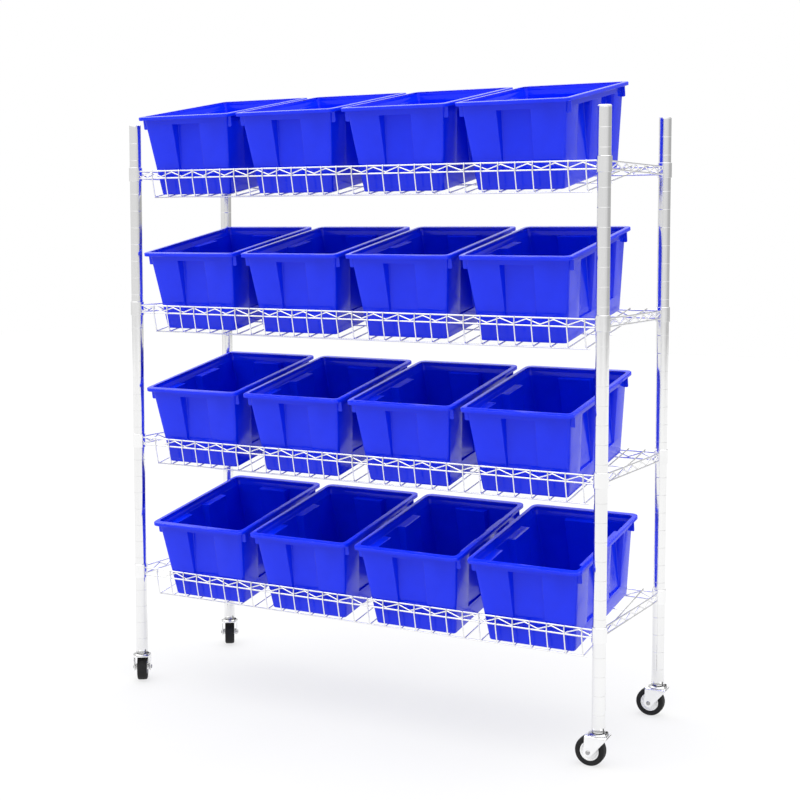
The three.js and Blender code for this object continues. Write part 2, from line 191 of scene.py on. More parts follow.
class Shell:
    """Points and faces of one piece, gathered from closed parts."""

    def __init__(self):
        self.points = []
        self.faces = []

    def add(self, points, faces, move=None):
        start = len(self.points)
        self.points += [tuple(move @ Vector(p)) if move else tuple(p) for p in points]
        self.faces += [tuple(start + i for i in face) for face in faces]

    def rings(self, rings, closed=False, caps=True, move=None):
        """Skins rings that hold equal numbers of points; `closed` joins the last to the first."""
        count = len(rings[0])
        faces = []
        last = len(rings) if closed else len(rings) - 1
        for r in range(last):
            low, high = r * count, (r + 1) % len(rings) * count
            for i in range(count):
                j = (i + 1) % count
                faces.append((low + i, low + j, high + j, high + i))
        if caps and not closed:
            faces.append(tuple(reversed(range(count))))
            faces.append(tuple(range((len(rings) - 1) * count, len(rings) * count)))
        self.add([p for ring in rings for p in ring], faces, move)

    def piece(self, name, material, slot, body, replaced=(), smooth_deg=40, bevel=0.0):
        """Makes the object, gives it its finish, ties it to its body and hides the CAD nodes it
        replaces.
        """
        mesh = bpy.data.meshes.new(name)
        mesh.from_pydata(self.points, [], self.faces)
        mesh.validate()
        mesh.polygons.foreach_set("use_smooth", [True] * len(mesh.polygons))
        mesh.set_sharp_from_angle(angle=math.radians(smooth_deg))
        mesh.materials.append(material)
        return placed(name, mesh, body, replaced, bevel)


def placed(name, mesh, body, replaced=(), bevel=0.0, matrix=None):
    obj = bpy.data.objects.new(name, mesh)
    bpy.context.scene.collection.objects.link(obj)
    if matrix:
        obj.matrix_world = matrix
    if bevel:
        modifier = obj.modifiers.new("edges", "BEVEL")
        modifier.width = bevel
        modifier.segments = 2
        modifier.limit_method = "ANGLE"
        modifier.angle_limit = math.radians(35)
        modifier.harden_normals = True
    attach(obj, body)
    if replaced:
        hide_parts(*replaced)
    return obj


def lathe_rings(profile, sides):
    """Rings of a [radius, height] profile turned about Z."""
    turns = [2 * math.pi * i / sides for i in range(sides)]
    return [[(r * math.cos(t), r * math.sin(t), z) for t in turns] for r, z in profile]


def turned(profile, sides, move, closed=False):
    """A shell holding one turned part."""
    shell = Shell()
    shell.rings(lathe_rings(profile, sides), closed=closed, move=move)
    return shell


def bend(points, radius, steps=4):
    """A polyline with each inner corner rounded to about `radius`."""
    points = [Vector(p) for p in points]
    out = [points[0]]
    for before, corner, after in zip(points, points[1:], points[2:]):
        back, ahead = before - corner, after - corner
        turn = math.pi - back.angle(ahead)
        reach = min(radius * math.tan(turn / 2), 0.48 * back.length, 0.48 * ahead.length)
        start, end = corner + back.normalized() * reach, corner + ahead.normalized() * reach
        for k in range(steps + 1):
            t = k / steps
            out.append(start * (1 - t) ** 2 + corner * 2 * t * (1 - t) + end * t * t)
    return out + [points[-1]]


def wire_rings(line, radius, sides=10, nip=True):
    """Rings of a round wire along a line, its two cut ends slightly rounded."""
    line = [Vector(p) for p in line]
    tangents = []
    for i, point in enumerate(line):
        before = line[max(i - 1, 0)]
        after = line[min(i + 1, len(line) - 1)]
        tangents.append((after - before).normalized())
    side = tangents[0].orthogonal().normalized()
    rings = []
    for point, tangent in zip(line, tangents):
        side = (side - tangent * side.dot(tangent)).normalized()
        up = tangent.cross(side)
        turns = [2 * math.pi * k / sides for k in range(sides)]
        rings.append([point + (side * math.cos(t) + up * math.sin(t)) * radius for t in turns])
    if nip:
        for end, inner in ((0, 1), (-1, -2)):
            middle = line[end]
            step = (line[inner] - line[end]).normalized() * radius * 0.4
            tip = [middle + (p - middle) * 0.7 for p in rings[end]]
            shoulder = [p + step for p in rings[end]]
            if end == 0:
                rings[0:1] = [tip, shoulder]
            else:
                rings[-1:] = [shoulder, tip]
    return rings


# ---------------------------------------------------------------- materials

def material(name, metallic=0.0):
    """A node material: returns it with its tree, its shader and the piece's own coordinates."""
    made = bpy.data.materials.new(name)
    made.use_nodes = True
    tree = made.node_tree
    shader = tree.nodes["Principled BSDF"]
    shader.inputs["Metallic"].default_value = metallic
    return made, tree, shader, tree.nodes.new("ShaderNodeTexCoord").outputs["Object"]


def noise(tree, place, size, detail=4.0, rough=0.55, stretch=None):
    """A noise value whose features are about `size` metres, drawn out along `stretch`."""
    if stretch:
        mapping = tree.nodes.new("ShaderNodeMapping")
        mapping.inputs["Scale"].default_value = stretch
        tree.links.new(place, mapping.inputs["Vector"])
        place = mapping.outputs["Vector"]
    node = tree.nodes.new("ShaderNodeTexNoise")
    node.inputs["Scale"].default_value = 1 / size
    node.inputs["Detail"].default_value = detail
    node.inputs["Roughness"].default_value = rough
    tree.links.new(place, node.inputs["Vector"])
    return node.outputs["Fac"]


def ramp(tree, value, low, high, start=0.3, end=0.7):
    """Maps a value to a colour, or to a grey where low and high are numbers."""
    node = tree.nodes.new("ShaderNodeValToRGB")
    for stop, at, colour in zip(node.color_ramp.elements, (start, end), (low, high)):
        stop.position = at
        stop.color = (*colour, 1) if hasattr(colour, "__len__") else (colour,) * 3 + (1,)
    tree.links.new(value, node.inputs["Fac"])
    return node.outputs["Color"]


def blend_colours(tree, share, low, high):
    node = tree.nodes.new("ShaderNodeMix")
    node.data_type = "RGBA"
    tree.links.new(share, node.inputs["Factor"])
    for socket, colour in ((node.inputs["A"], low), (node.inputs["B"], high)):
        if hasattr(colour, "__len__"):
            socket.default_value = (*colour, 1)
        else:
            tree.links.new(colour, socket)
    return node.outputs["Result"]


def bump(tree, shader, height, depth, strength=1.0):
    node = tree.nodes.new("ShaderNodeBump")
    node.inputs["Strength"].default_value = strength
    node.inputs["Distance"].default_value = depth
    tree.links.new(height, node.inputs["Height"])
    tree.links.new(node.outputs["Normal"], shader.inputs["Normal"])


def plated(name, bright, dull, rough_low, rough_high, ripple, grain=None):
    """Plated steel: clouded tone and sheen, with a faint ripple in its surface."""
    made, tree, shader, place = material(name, metallic=1.0)
    cloud = noise(tree, place, 60 * MM, stretch=grain)
    tree.links.new(ramp(tree, cloud, dull, bright), shader.inputs["Base Color"])
    fine = noise(tree, place, 4 * MM, detail=6, stretch=grain)
    tree.links.new(ramp(tree, fine, rough_low, rough_high), shader.inputs["Roughness"])
    bump(tree, shader, fine, ripple, 0.5)
    return made


def tote_plastic():
    """Glossy injection-moulded blue plastic, paler along worn edges."""
    made, tree, shader, place = material("tote_plastic")
    cloud = noise(tree, place, 120 * MM)
    body = ramp(tree, cloud, (0.0012, 0.018, 0.74), (0.0022, 0.024, 0.84))
    edges = tree.nodes.new("ShaderNodeNewGeometry").outputs["Pointiness"]
    scratches = noise(tree, place, 9 * MM, detail=8, rough=0.7)
    worn = tree.nodes.new("ShaderNodeMath")
    worn.operation = "MULTIPLY"
    tree.links.new(ramp(tree, edges, 0.0, 0.30, 0.53, 0.62), worn.inputs[0])
    tree.links.new(ramp(tree, scratches, 0.0, 1.0, 0.35, 0.75), worn.inputs[1])
    paler = blend_colours(tree, worn.outputs["Value"], body, (0.03, 0.07, 0.90))
    tree.links.new(paler, shader.inputs["Base Color"])
    sheen = noise(tree, place, 30 * MM, detail=6)
    tree.links.new(ramp(tree, sheen, 0.10, 0.20), shader.inputs["Roughness"])
    grain = noise(tree, place, 1.6 * MM, detail=3)
    bump(tree, shader, grain, 0.02 * MM, 0.35)
    shader.inputs["IOR"].default_value = 1.5
    shader.inputs["Specular IOR Level"].default_value = 0.30
    return made


def matte_plastic(name, dark, light, rough_low, rough_high):
    made, tree, shader, place = material(name)
    cloud = noise(tree, place, 18 * MM)
    tree.links.new(ramp(tree, cloud, dark, light), shader.inputs["Base Color"])
    fine = noise(tree, place, 1.2 * MM, detail=5)
    tree.links.new(ramp(tree, fine, rough_low, rough_high), shader.inputs["Roughness"])
    bump(tree, shader, fine, 0.03 * MM, 0.5)
    return made


def rubber():
    """Black tread rubber with a fine grain and a little grey dust in it."""
    made, tree, shader, place = material("tyre_rubber")
    grain = noise(tree, place, 1.5 * MM, detail=8, rough=0.7)
    dust = ramp(tree, noise(tree, place, 14 * MM, detail=6), 0.0, 0.5, 0.4, 0.8)
    tone = blend_colours(tree, dust, (0.007, 0.007, 0.008), (0.022, 0.021, 0.020))
    tree.links.new(tone, shader.inputs["Base Color"])
    tree.links.new(ramp(tree, grain, 0.55, 0.8), shader.inputs["Roughness"])
    bump(tree, shader, grain, 0.15 * MM, 0.6)
    shader.inputs["Specular IOR Level"].default_value = 0.3
    return made


def floor_paint():
    made, tree, shader, place = material("floor_paint")
    cloud = noise(tree, place, 0.9)
    tree.links.new(ramp(tree, cloud, 0.145, 0.155), shader.inputs["Base Color"])
    shader.inputs["Roughness"].default_value = 0.9
    shader.inputs["Specular IOR Level"].default_value = 0.1
    shader.inputs["Emission Color"].default_value = (1, 1, 1, 1)
    shader.inputs["Emission Strength"].default_value = FLOOR_GLOW
    return made


POST_CHROME = plated("post_chrome", 0.90, 0.84, 0.10, 0.17, 0.02 * MM, grain=(1, 1, 0.15))
WIRE_CHROME = plated("wire_chrome", 0.93, 0.87, 0.09, 0.18, 0.02 * MM)
CASTER_STEEL = plated("caster_steel", 0.96, 0.91, 0.30, 0.44, 0.03 * MM)
# caster steel darkened for the raceway dome: painted shade, standing for the grey the dome shows under
# the light
SHADED_CASTER_STEEL = plated("caster_steel_painted_shade", 0.58, 0.46, 0.20, 0.34, 0.04 * MM)
BOLT_STEEL = plated("bolt_steel", 0.42, 0.30, 0.26, 0.40, 0.04 * MM)
TOTE_PLASTIC = tote_plastic()
LIGHT_PLASTIC = matte_plastic("light_plastic", 0.70, 0.80, 0.30, 0.45)
HUB_PLASTIC = matte_plastic("hub_plastic", 0.88, 0.94, 0.32, 0.48)
# near-black plastic: the nipple caps' own colour, and also the painted shade of the ring in the gap
# under each post
DARK_PLASTIC_AND_SHADE = matte_plastic("dark_plastic_and_painted_shade", 0.012, 0.022, 0.40, 0.60)
TYRE_RUBBER = rubber()


# ---------------------------------------------------------------- posts

def centre(node):
    low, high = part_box(node)
    return (low + high) / 2


def post(corner):
    """A grooved tube, open at both ends; the cap and the caster's stem go into it."""
    low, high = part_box(f"post_{corner}")
    inner, edge = POST_RADIUS - POST_WALL, 0.5 * MM
    profile = [(inner, low.z), (POST_RADIUS - edge, low.z), (POST_RADIUS, low.z + edge)]
    half, deep, lead = GROOVE_HALF_WIDTH, GROOVE_DEPTH, GROOVE_LEAD
    for k in range(GROOVE_COUNT):
        z = low.z + GROOVE_FIRST + k * GROOVE_PITCH
        if z + half + lead > high.z - edge:
            break
        profile += [(POST_RADIUS, z - half - lead), (POST_RADIUS, z - half)]
        profile += [(POST_RADIUS - 0.75 * deep, z - 0.5 * half), (POST_RADIUS - deep, z)]
        profile += [(POST_RADIUS - 0.75 * deep, z + 0.5 * half)]
        profile += [(POST_RADIUS, z + half), (POST_RADIUS, z + half + lead)]
    profile += [(POST_RADIUS, high.z - edge), (POST_RADIUS - edge, high.z), (inner, high.z)]
    name = f"post_{corner}"
    middle = centre(name)
    tube = turned(profile, 48, Matrix.Translation((middle.x, middle.y, 0)), closed=True)
    tube.piece(f"{name}_tube", POST_CHROME, "post_chrome", "root", [name], smooth_deg=60)


def post_cap(corner):
    """A pressed-in cap with a rounded rim and a slightly domed top."""
    low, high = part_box(f"cap_{corner}")
    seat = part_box(f"post_{corner}")[1].z
    plug = POST_RADIUS - POST_WALL - 0.2 * MM
    profile = [(plug - 1 * MM, low.z), (plug, low.z + 1 * MM), (plug, seat), (POST_RADIUS, seat)]
    rim = high.z - seat
    for step in range(6):
        turn = step / 5 * math.pi / 2
        radius = POST_RADIUS - CAP_ROUND * (1 - math.cos(turn))
        profile.append((radius, seat + rim * (0.25 + 0.6 * math.sin(turn))))
    profile += [(POST_RADIUS * 0.5, high.z - 0.15 * MM), (POST_RADIUS * 0.15, high.z)]
    name = f"cap_{corner}"
    middle = centre(name)
    cap = turned(profile, 48, Matrix.Translation((middle.x, middle.y, 0)))
    cap.piece(f"{name}_dome", LIGHT_PLASTIC, "light_plastic", "root", [name])


# ---------------------------------------------------------------- shelves

POST_AT = {corner: centre(f"post_{corner}") for corner in CORNERS}
MIDDLE = sum(POST_AT.values(), Vector()) / len(CORNERS)
HALF_X = POST_AT["front_right"].x - MIDDLE.x
HALF_Y = POST_AT["back_right"].y - MIDDLE.y
SLIDE = next(j for j in frame["joints"] if j["name"] == "tote_1_1_slide")
SLOPE = math.atan2(SLIDE["axis"][2], SLIDE["axis"][1])


def shelf_height(shelf):
    """The height of a shelf's top rim wire."""
    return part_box(f"shelf_{shelf}_rim")[1].z - COLLAR_ABOVE


def truss(shell, half_length, half_periods, move):
    """A top wire, a bottom wire and a zigzag between them, along X about the origin."""
    for z in (0, -RIM_DROP):
        line = [(-half_length, 0, z), (0, 0, z), (half_length, 0, z)]
        shell.rings(wire_rings(line, RIM_RADIUS, 12, nip=False), move=move)
    crest = -(RIM_RADIUS + ZIGZAG_RADIUS - WELD)
    trough = -RIM_DROP - crest
    step = half_length / half_periods
    stops = range(-half_periods, half_periods + 1)
    line = [(k * step, 0, crest if k % 2 == 0 else trough) for k in stops]
    shell.rings(wire_rings(bend(line, 6 * MM), ZIGZAG_RADIUS, 10, nip=False), move=move)


def collar(shell, move):
    """A corner collar, a thin-walled ring with softened edges."""
    outer, inner, soft = COLLAR_RADIUS, COLLAR_RADIUS - 1.7 * MM, 0.5 * MM
    profile = [(inner, -COLLAR_BELOW), (outer - soft, -COLLAR_BELOW), (outer, soft - COLLAR_BELOW),
               (outer, COLLAR_ABOVE - soft), (outer - soft, COLLAR_ABOVE), (inner, COLLAR_ABOVE)]
    shell.rings(lathe_rings(profile, 48), closed=True, move=move)


def rim(shelf):
    shell = Shell()
    reach = COLLAR_RADIUS - 0.8 * MM
    quarter = Matrix.Rotation(math.pi / 2, 4, "Z")
    base = Matrix.Translation((MIDDLE.x, MIDDLE.y, shelf_height(shelf)))
    for side in (-1, 1):
        along = base @ Matrix.Translation((0, side * HALF_Y, 0))
        truss(shell, HALF_X - reach, ZIGZAG_HALF_PERIODS_X, along)
        across = base @ Matrix.Translation((side * HALF_X, 0, 0))
        truss(shell, HALF_Y - reach, ZIGZAG_HALF_PERIODS_Y, across @ quarter)
        for end in (-1, 1):
            collar(shell, across @ Matrix.Translation((0, end * HALF_Y, 0)))
    name = f"shelf_{shelf}_rim"
    shell.piece(f"{name}_wires", WIRE_CHROME, "wire_chrome", "root", [name])


def sleeve(shelf, corner):
    """Two half sleeves that grip the post's groove inside the collar."""
    shell = Shell()
    at = POST_AT[corner]
    move = Matrix.Translation((at.x, at.y, shelf_height(shelf)))
    inner, outer = POST_RADIUS + 0.1 * MM, COLLAR_RADIUS - 1.8 * MM
    low, high, soft = -COLLAR_BELOW + 0.4 * MM, COLLAR_ABOVE - 0.4 * MM, 0.4 * MM
    section = [(inner, high), (outer - soft, high), (outer, high - soft), (outer, low + soft),
               (outer - soft, low), (inner, low)]
    split = math.radians(3)
    for half in (0, 1):
        start = half * math.pi + split
        turns = [start + (math.pi - 2 * split) * i / 24 for i in range(25)]
        rings = [[(r * math.cos(t), r * math.sin(t), z) for r, z in section] for t in turns]
        shell.rings(rings, move=move)
    shell.piece(f"sleeve_{shelf}_{corner}", LIGHT_PLASTIC, "light_plastic", "root")


def mat(shelf):
    """Bent wires side by side, up the front as a fence and back over the rear rim, on cross wires."""
    low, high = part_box(f"shelf_{shelf}_mat")
    top = shelf_height(shelf)
    middle_x = (low.x + high.x) / 2
    front, rear = MIDDLE.y - HALF_Y, MIDDLE.y + HALF_Y
    fence_y = front - RIM_RADIUS - MAT_RADIUS + WELD
    fold = Vector((0, front + FOLD_SETBACK, top - FOLD_DEPTH))
    back = Vector((0, rear + MAT_BACK_OVERHANG, top + MAT_BACK_HEIGHT))
    fence = [Vector((0, fence_y, top + RIM_RADIUS)), Vector((0, fence_y, top - FENCE_STRAIGHT))]
    shell = Shell()
    bent = bend([*fence, fold, back], 9 * MM, 5)
    for k in range(MAT_WIRES):
        x = middle_x + (k - (MAT_WIRES - 1) / 2) * MAT_PITCH
        shell.rings(wire_rings(bent, MAT_RADIUS), move=Matrix.Translation((x, 0, 0)))
    under = Vector((0, math.sin(SLOPE), -math.cos(SLOPE))) * (2 * MAT_RADIUS - WELD)
    for share in CROSS_WIRES_AT:
        at = fold.lerp(back, share) + under
        shell.rings(wire_rings([(x, at.y, at.z) for x in (low.x, middle_x, high.x)], MAT_RADIUS))
    name = f"shelf_{shelf}_mat"
    fence_node = f"shelf_{shelf}_fence"
    shell.piece(f"{name}_wires", WIRE_CHROME, "wire_chrome", "root", [name, fence_node])


# ---------------------------------------------------------------- totes

def lerp(low, high, share):
    return low + (high - low) * share


def channel(depth, width, at, draft):
    """The four corners of one channel pressed `depth` into a side, along that side."""
    half, foot = width / 2, width / 2 - draft
    return [(at - half, 0.0), (at - foot, depth), (at + foot, depth), (at + half, 0.0)]


def tote_outline(z, press):
    """Corner points of the tote's body at height z, anticlockwise, with a fillet for each.

    `press` scales how far the channels are pressed in, from flush at 0 to full at 1.
    """
    share = z / (TOTE_HEIGHT - TOTE_LIP)
    half_x = TOTE_WIDTH / 2 - TOTE_LIP_OUT_SIDE - TOTE_TAPER_SIDE * (1 - share)
    half_y = TOTE_LENGTH / 2 - TOTE_LIP_OUT_END - TOTE_TAPER_END * (1 - share)
    up = min(max((z - CHANNEL_FOOT) / (CHANNEL_TOP - CHANNEL_FOOT), 0.0), 1.0)
    depth = press * lerp(CHANNEL_DEPTH_FOOT, CHANNEL_DEPTH_TOP, up)
    width = lerp(CHANNEL_WIDTH_FOOT, CHANNEL_WIDTH_TOP, up)
    draft = min(CHANNEL_DRAFT, 0.12 * depth + 0.2 * MM)

    def channels(places):
        return [point for at in places for point in channel(depth, width, at, draft)]

    fillet = CHANNEL_FILLET
    corners = [((half_x, -half_y), TOTE_CORNER)]
    corners += [((half_x - d, t), fillet) for t, d in channels(RIGHT_CHANNELS_AT)]
    corners.append(((half_x, half_y), TOTE_CORNER))
    corners += [((-t, half_y - d), fillet) for t, d in channels([0.0])]
    corners.append(((-half_x, half_y), TOTE_CORNER))
    left_places = [-at for at in reversed(LEFT_CHANNELS_AT)]
    corners += [((d - half_x, -t), fillet) for t, d in channels(left_places)]
    corners.append(((-half_x, -half_y), TOTE_CORNER))
    corners += [((t, d - half_y), fillet) for t, d in channels([0.0])]
    return corners


def grown(corners, out):
    """The same corners with every side moved outwards by `out`, for walls that stay parallel."""
    count = len(corners)
    made = []
    for i, ((x, y), fillet) in enumerate(corners):
        here = Vector((x, y))
        before = here - Vector(corners[i - 1][0])
        after = Vector(corners[(i + 1) % count][0]) - here
        first, second = (Vector((d.y, -d.x)).normalized() for d in (before, after))
        step = (first + second) / max(1 + first.dot(second), 0.2) * out
        if fillet == TOTE_CORNER:
            fillet = max(fillet + out, LEAST_CORNER)
        made.append(((x + step.x, y + step.y), fillet))
    return made


def filleted(corners, z):
    """A ring of points round the corners at height z: more points on the four large fillets."""
    count = len(corners)
    ring = []
    for i, ((x, y), fillet) in enumerate(corners):
        here = Vector((x, y, z))
        back = Vector((*corners[i - 1][0], z)) - here
        ahead = Vector((*corners[(i + 1) % count][0], z)) - here
        steps = 8 if fillet > CHANNEL_FILLET else 3
        turn = math.pi - back.angle(ahead)
        tangent = max(fillet * math.tan(turn / 2), 0.2 * MM)
        reach = min(tangent, 0.45 * back.length, 0.45 * ahead.length)
        start, end = here + back.normalized() * reach, here + ahead.normalized() * reach
        for k in range(steps + 1):
            t = k / steps
            ring.append(start * (1 - t) ** 2 + here * 2 * t * (1 - t) + end * t * t)
    return ring


def lip_ring(out_side, out_end, fillet, z):
    """A ring with as many points as a body ring, on the plain rounded outline of the lip."""
    base = tote_outline(TOTE_HEIGHT - TOTE_LIP, 0.0)
    made = []
    for (x, y), r in base:
        on_side = abs(x) > TOTE_WIDTH / 2 - TOTE_LIP_OUT_SIDE - 1 * MM
        on_end = abs(y) > TOTE_LENGTH / 2 - TOTE_LIP_OUT_END - 1 * MM
        x += math.copysign(out_side, x) if on_side else 0.0
        y += math.copysign(out_end, y) if on_end else 0.0
        made.append(((x, y), fillet if r == TOTE_CORNER else r))
    return filleted(made, z)


def tote_mesh():
    """One tote, its origin under the middle of its floor: walls, channels, lip and gussets."""
    neck = TOTE_HEIGHT - TOTE_LIP
    soft = 0.8 * MM
    rings = []

    def wall(z, press=1.0, out=0.0, at=None):
        rings.append(filleted(grown(tote_outline(z, press), out), z if at is None else at))

    # outside, from the foot up
    wall(0.0, press=0, out=-4.0 * MM)
    wall(0.6 * MM, press=0, out=-1.6 * MM)
    wall(2.2 * MM, press=0, out=-0.5 * MM)
    wall(4.5 * MM, press=0)
    wall(CHANNEL_FOOT - 1.5 * MM, press=0)
    wall(CHANNEL_FOOT - 0.9 * MM, press=0)
    wall(CHANNEL_FOOT - 0.5 * MM)
    wall(CHANNEL_FOOT)
    for share in (0.25, 0.5, 0.75):
        wall(lerp(CHANNEL_FOOT, CHANNEL_TOP, share))
    wall(CHANNEL_TOP - 0.5 * MM)
    wall(CHANNEL_TOP)
    wall(CHANNEL_TOP + 0.5 * MM, press=0)
    wall(CHANNEL_TOP + 1.2 * MM, press=0)
    wall(neck + 1.2 * MM, press=0)
    # lip: under it, up its skirt, over its top
    side, end = TOTE_LIP_OUT_SIDE, TOTE_LIP_OUT_END
    skirt_side, skirt_end = side - LIP_SKIRT, end - LIP_SKIRT
    top = TOTE_HEIGHT
    corner = LIP_CORNER
    under = top - 3.4 * MM
    rings.append(lip_ring(0.6 * MM, 0.6 * MM, TOTE_CORNER, under))
    rings.append(lip_ring(skirt_side - soft, skirt_end - soft, corner - 3 * MM, under))
    rings.append(lip_ring(skirt_side, skirt_end, corner - 3 * MM, under - soft))
    rings.append(lip_ring(skirt_side, skirt_end, corner - 3 * MM, neck + 0.4 * MM))
    rings.append(lip_ring(skirt_side + 0.5 * MM, skirt_end + 0.5 * MM, corner - 2 * MM, neck))
    rings.append(lip_ring(side - 0.8 * MM, end - 0.8 * MM, corner, neck))
    rings.append(lip_ring(side - 0.1 * MM, end - 0.1 * MM, corner, neck + 0.6 * MM))
    rings.append(lip_ring(side, end, corner, neck + 1.4 * MM))
    for step in range(5):
        turn = step / 4 * math.pi / 2
        round_in = LIP_ROUND * (1 - math.cos(turn))
        z = top - LIP_ROUND * (1 - math.sin(turn))
        rings.append(lip_ring(side - round_in, end - round_in, corner, z))
    for out, fillet, drop in ((2.2, 0, 0), (0.8, 0, 0.6), (0, 2, 2.2)):
        reach = out * MM - TOTE_WALL
        rings.append(lip_ring(reach, reach, OPENING_CORNER - fillet * MM, top - drop * MM))
    # inside, from the lip down to the floor
    ledge = CHANNEL_TOP + TOTE_WALL
    wall(ledge + 1.4 * MM, press=0, out=-TOTE_WALL)
    wall(ledge + 0.7 * MM, press=0, out=-TOTE_WALL)
    wall(CHANNEL_TOP, out=-TOTE_WALL, at=ledge + 0.2 * MM)
    wall(CHANNEL_TOP - 1.0 * MM, out=-TOTE_WALL, at=ledge - 0.6 * MM)
    for share in (0.75, 0.5, 0.25):
        wall(lerp(CHANNEL_FOOT, CHANNEL_TOP, share), out=-TOTE_WALL)
    wall(CHANNEL_FOOT + 0.5 * MM, out=-TOTE_WALL)
    wall(CHANNEL_FOOT, out=-TOTE_WALL, press=0.9)
    wall(CHANNEL_FOOT - 2.5 * MM, press=0, out=-TOTE_WALL)
    wall(TOTE_WALL + 6.0 * MM, press=0, out=-TOTE_WALL)
    wall(TOTE_WALL + 2.2 * MM, press=0, out=-TOTE_WALL - 1.0 * MM)
    wall(TOTE_WALL + 0.5 * MM, press=0, out=-TOTE_WALL - 3.6 * MM)
    wall(TOTE_WALL, press=0, out=-TOTE_WALL - 6.5 * MM)
    shell = Shell()
    shell.rings(rings)
    gussets(shell)
    mesh = bpy.data.meshes.new("tote")
    mesh.from_pydata(shell.points, [], shell.faces)
    mesh.validate()
    mesh.polygons.foreach_set("use_smooth", [True] * len(mesh.polygons))
    mesh.set_sharp_from_angle(angle=math.radians(38))
    mesh.materials.append(TOTE_PLASTIC)
    return mesh


def gussets(shell):
    """Thin ribs under the lip near each corner, on the long sides."""
    neck = TOTE_HEIGHT - TOTE_LIP
    half, tall = GUSSET_THICKNESS / 2, GUSSET_HEIGHT
    root = TOTE_WIDTH / 2 - TOTE_LIP_OUT_SIDE
    for side in (-1, 1):
        for at in GUSSETS_AT:
            foot = neck - tall
            lean = TOTE_TAPER_SIDE * tall / neck
            inner_top, inner_foot = root - 1.5 * MM, root - lean - 1.5 * MM
            outer = root + GUSSET_OUT
            section = [(inner_foot, foot), (outer - 3 * MM, foot), (outer - 0.9 * MM, foot + 0.9 * MM),
                       (outer, foot + 3 * MM), (outer, neck + 4 * MM), (inner_top, neck + 4 * MM)]
            if side < 0:
                section = section[::-1]
            rings = [[(side * x, at + y, z) for x, z in section] for y in (half, -half)]
            shell.rings(rings)


def totes():
    mesh = tote_mesh()
    lean = Matrix.Rotation(SLOPE, 4, "X")
    half_floor = TOTE_LENGTH / 2 - TOTE_LIP_OUT_END - TOTE_TAPER_END
    for shelf in SHELVES:
        for place in PLACES:
            name = f"tote_{shelf}_{place}"
            low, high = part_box(name)
            x = (low.x + high.x) / 2
            y = low.y + TOTE_LENGTH / 2 * math.cos(SLOPE) + TOTE_HEIGHT * math.sin(SLOPE)
            z = low.z + half_floor * math.sin(SLOPE)
            at = Matrix.Translation((x, y, z)) @ lean
            placed(f"{name}_moulding", mesh, name, [name], matrix=at)


# ---------------------------------------------------------------- casters

LAID = Matrix.Rotation(math.pi / 2, 4, "X")


def fork_edges(z):
    """The fork's back and front edges at height z on a leg, along the caster's own X."""
    drop = WHEEL_RADIUS - z
    round_half = math.sqrt(max(LEG_ROUND ** 2 - drop ** 2, 0.0)) if drop > 0 else LEG_ROUND
    crown = CROWN_BOTTOM + FORK_PLATE
    back = -TRAIL - round_half
    if drop <= 0:
        back = lerp(-TRAIL - LEG_ROUND, -CROWN_BACK, -drop / (crown - WHEEL_RADIUS))
    knee, knee_x = WHEEL_RADIUS + LEG_ROUND, 6 * MM
    heel, heel_x = WHEEL_RADIUS - LEG_ROUND / 2, -TRAIL + LEG_ROUND * math.cos(math.pi / 6)
    if z >= knee:
        rise = (z - knee) / (CROWN_BOTTOM - 4 * MM - knee)
        front = min(lerp(knee_x, CROWN_FRONT, rise), CROWN_FRONT)
    elif z >= heel:
        front = lerp(heel_x, knee_x, (z - heel) / (knee - heel))
    else:
        front = -TRAIL + round_half
    return back, front


def fork(shell, move):
    """A plate bent into an upside-down U: two raked legs and the crown over the wheel."""
    half = FORK_INNER + FORK_PLATE / 2
    crown = CROWN_BOTTOM + FORK_PLATE / 2
    radius = 5 * MM
    tip = WHEEL_RADIUS - LEG_ROUND
    heights = [tip + LEG_ROUND * (1 - math.cos(math.radians(a))) for a in (6, 20, 35, 50, 65, 80)]
    heights += [WHEEL_RADIUS + h * MM for h in (0, 6, 12, 20, 28)]
    path = [(half, z, 1.0, 0.0) for z in heights if z < crown - radius]
    for k in range(7):
        turn = math.radians(15 * k)
        y, z = math.cos(turn), math.sin(turn)
        path.append((half - radius + radius * y, crown - radius + radius * z, y, z))
    path += [(y, crown, 0.0, 1.0) for y in (8 * MM, 0.0)]
    path += [(-y, z, -ny, nz) for y, z, ny, nz in reversed(path[:-1])]
    rings = []
    for y, z, ny, nz in path:
        back, front = fork_edges(z)
        inner, outer = -FORK_PLATE / 2, FORK_PLATE / 2
        rings.append([(x, y + ny * t, z + nz * t) for x, t in
                      ((back, inner), (front, inner), (front, outer), (back, outer))])
    shell.rings(rings, move=move)


def scaled(profile):
    """A profile written in millimetres."""
    return [(radius * MM, height * MM) for radius, height in profile]


def mirrored(half):
    """A profile of a wheel part from its half, which runs outwards on the side of +height."""
    return [(radius, -height) for radius, height in half] + half[::-1]


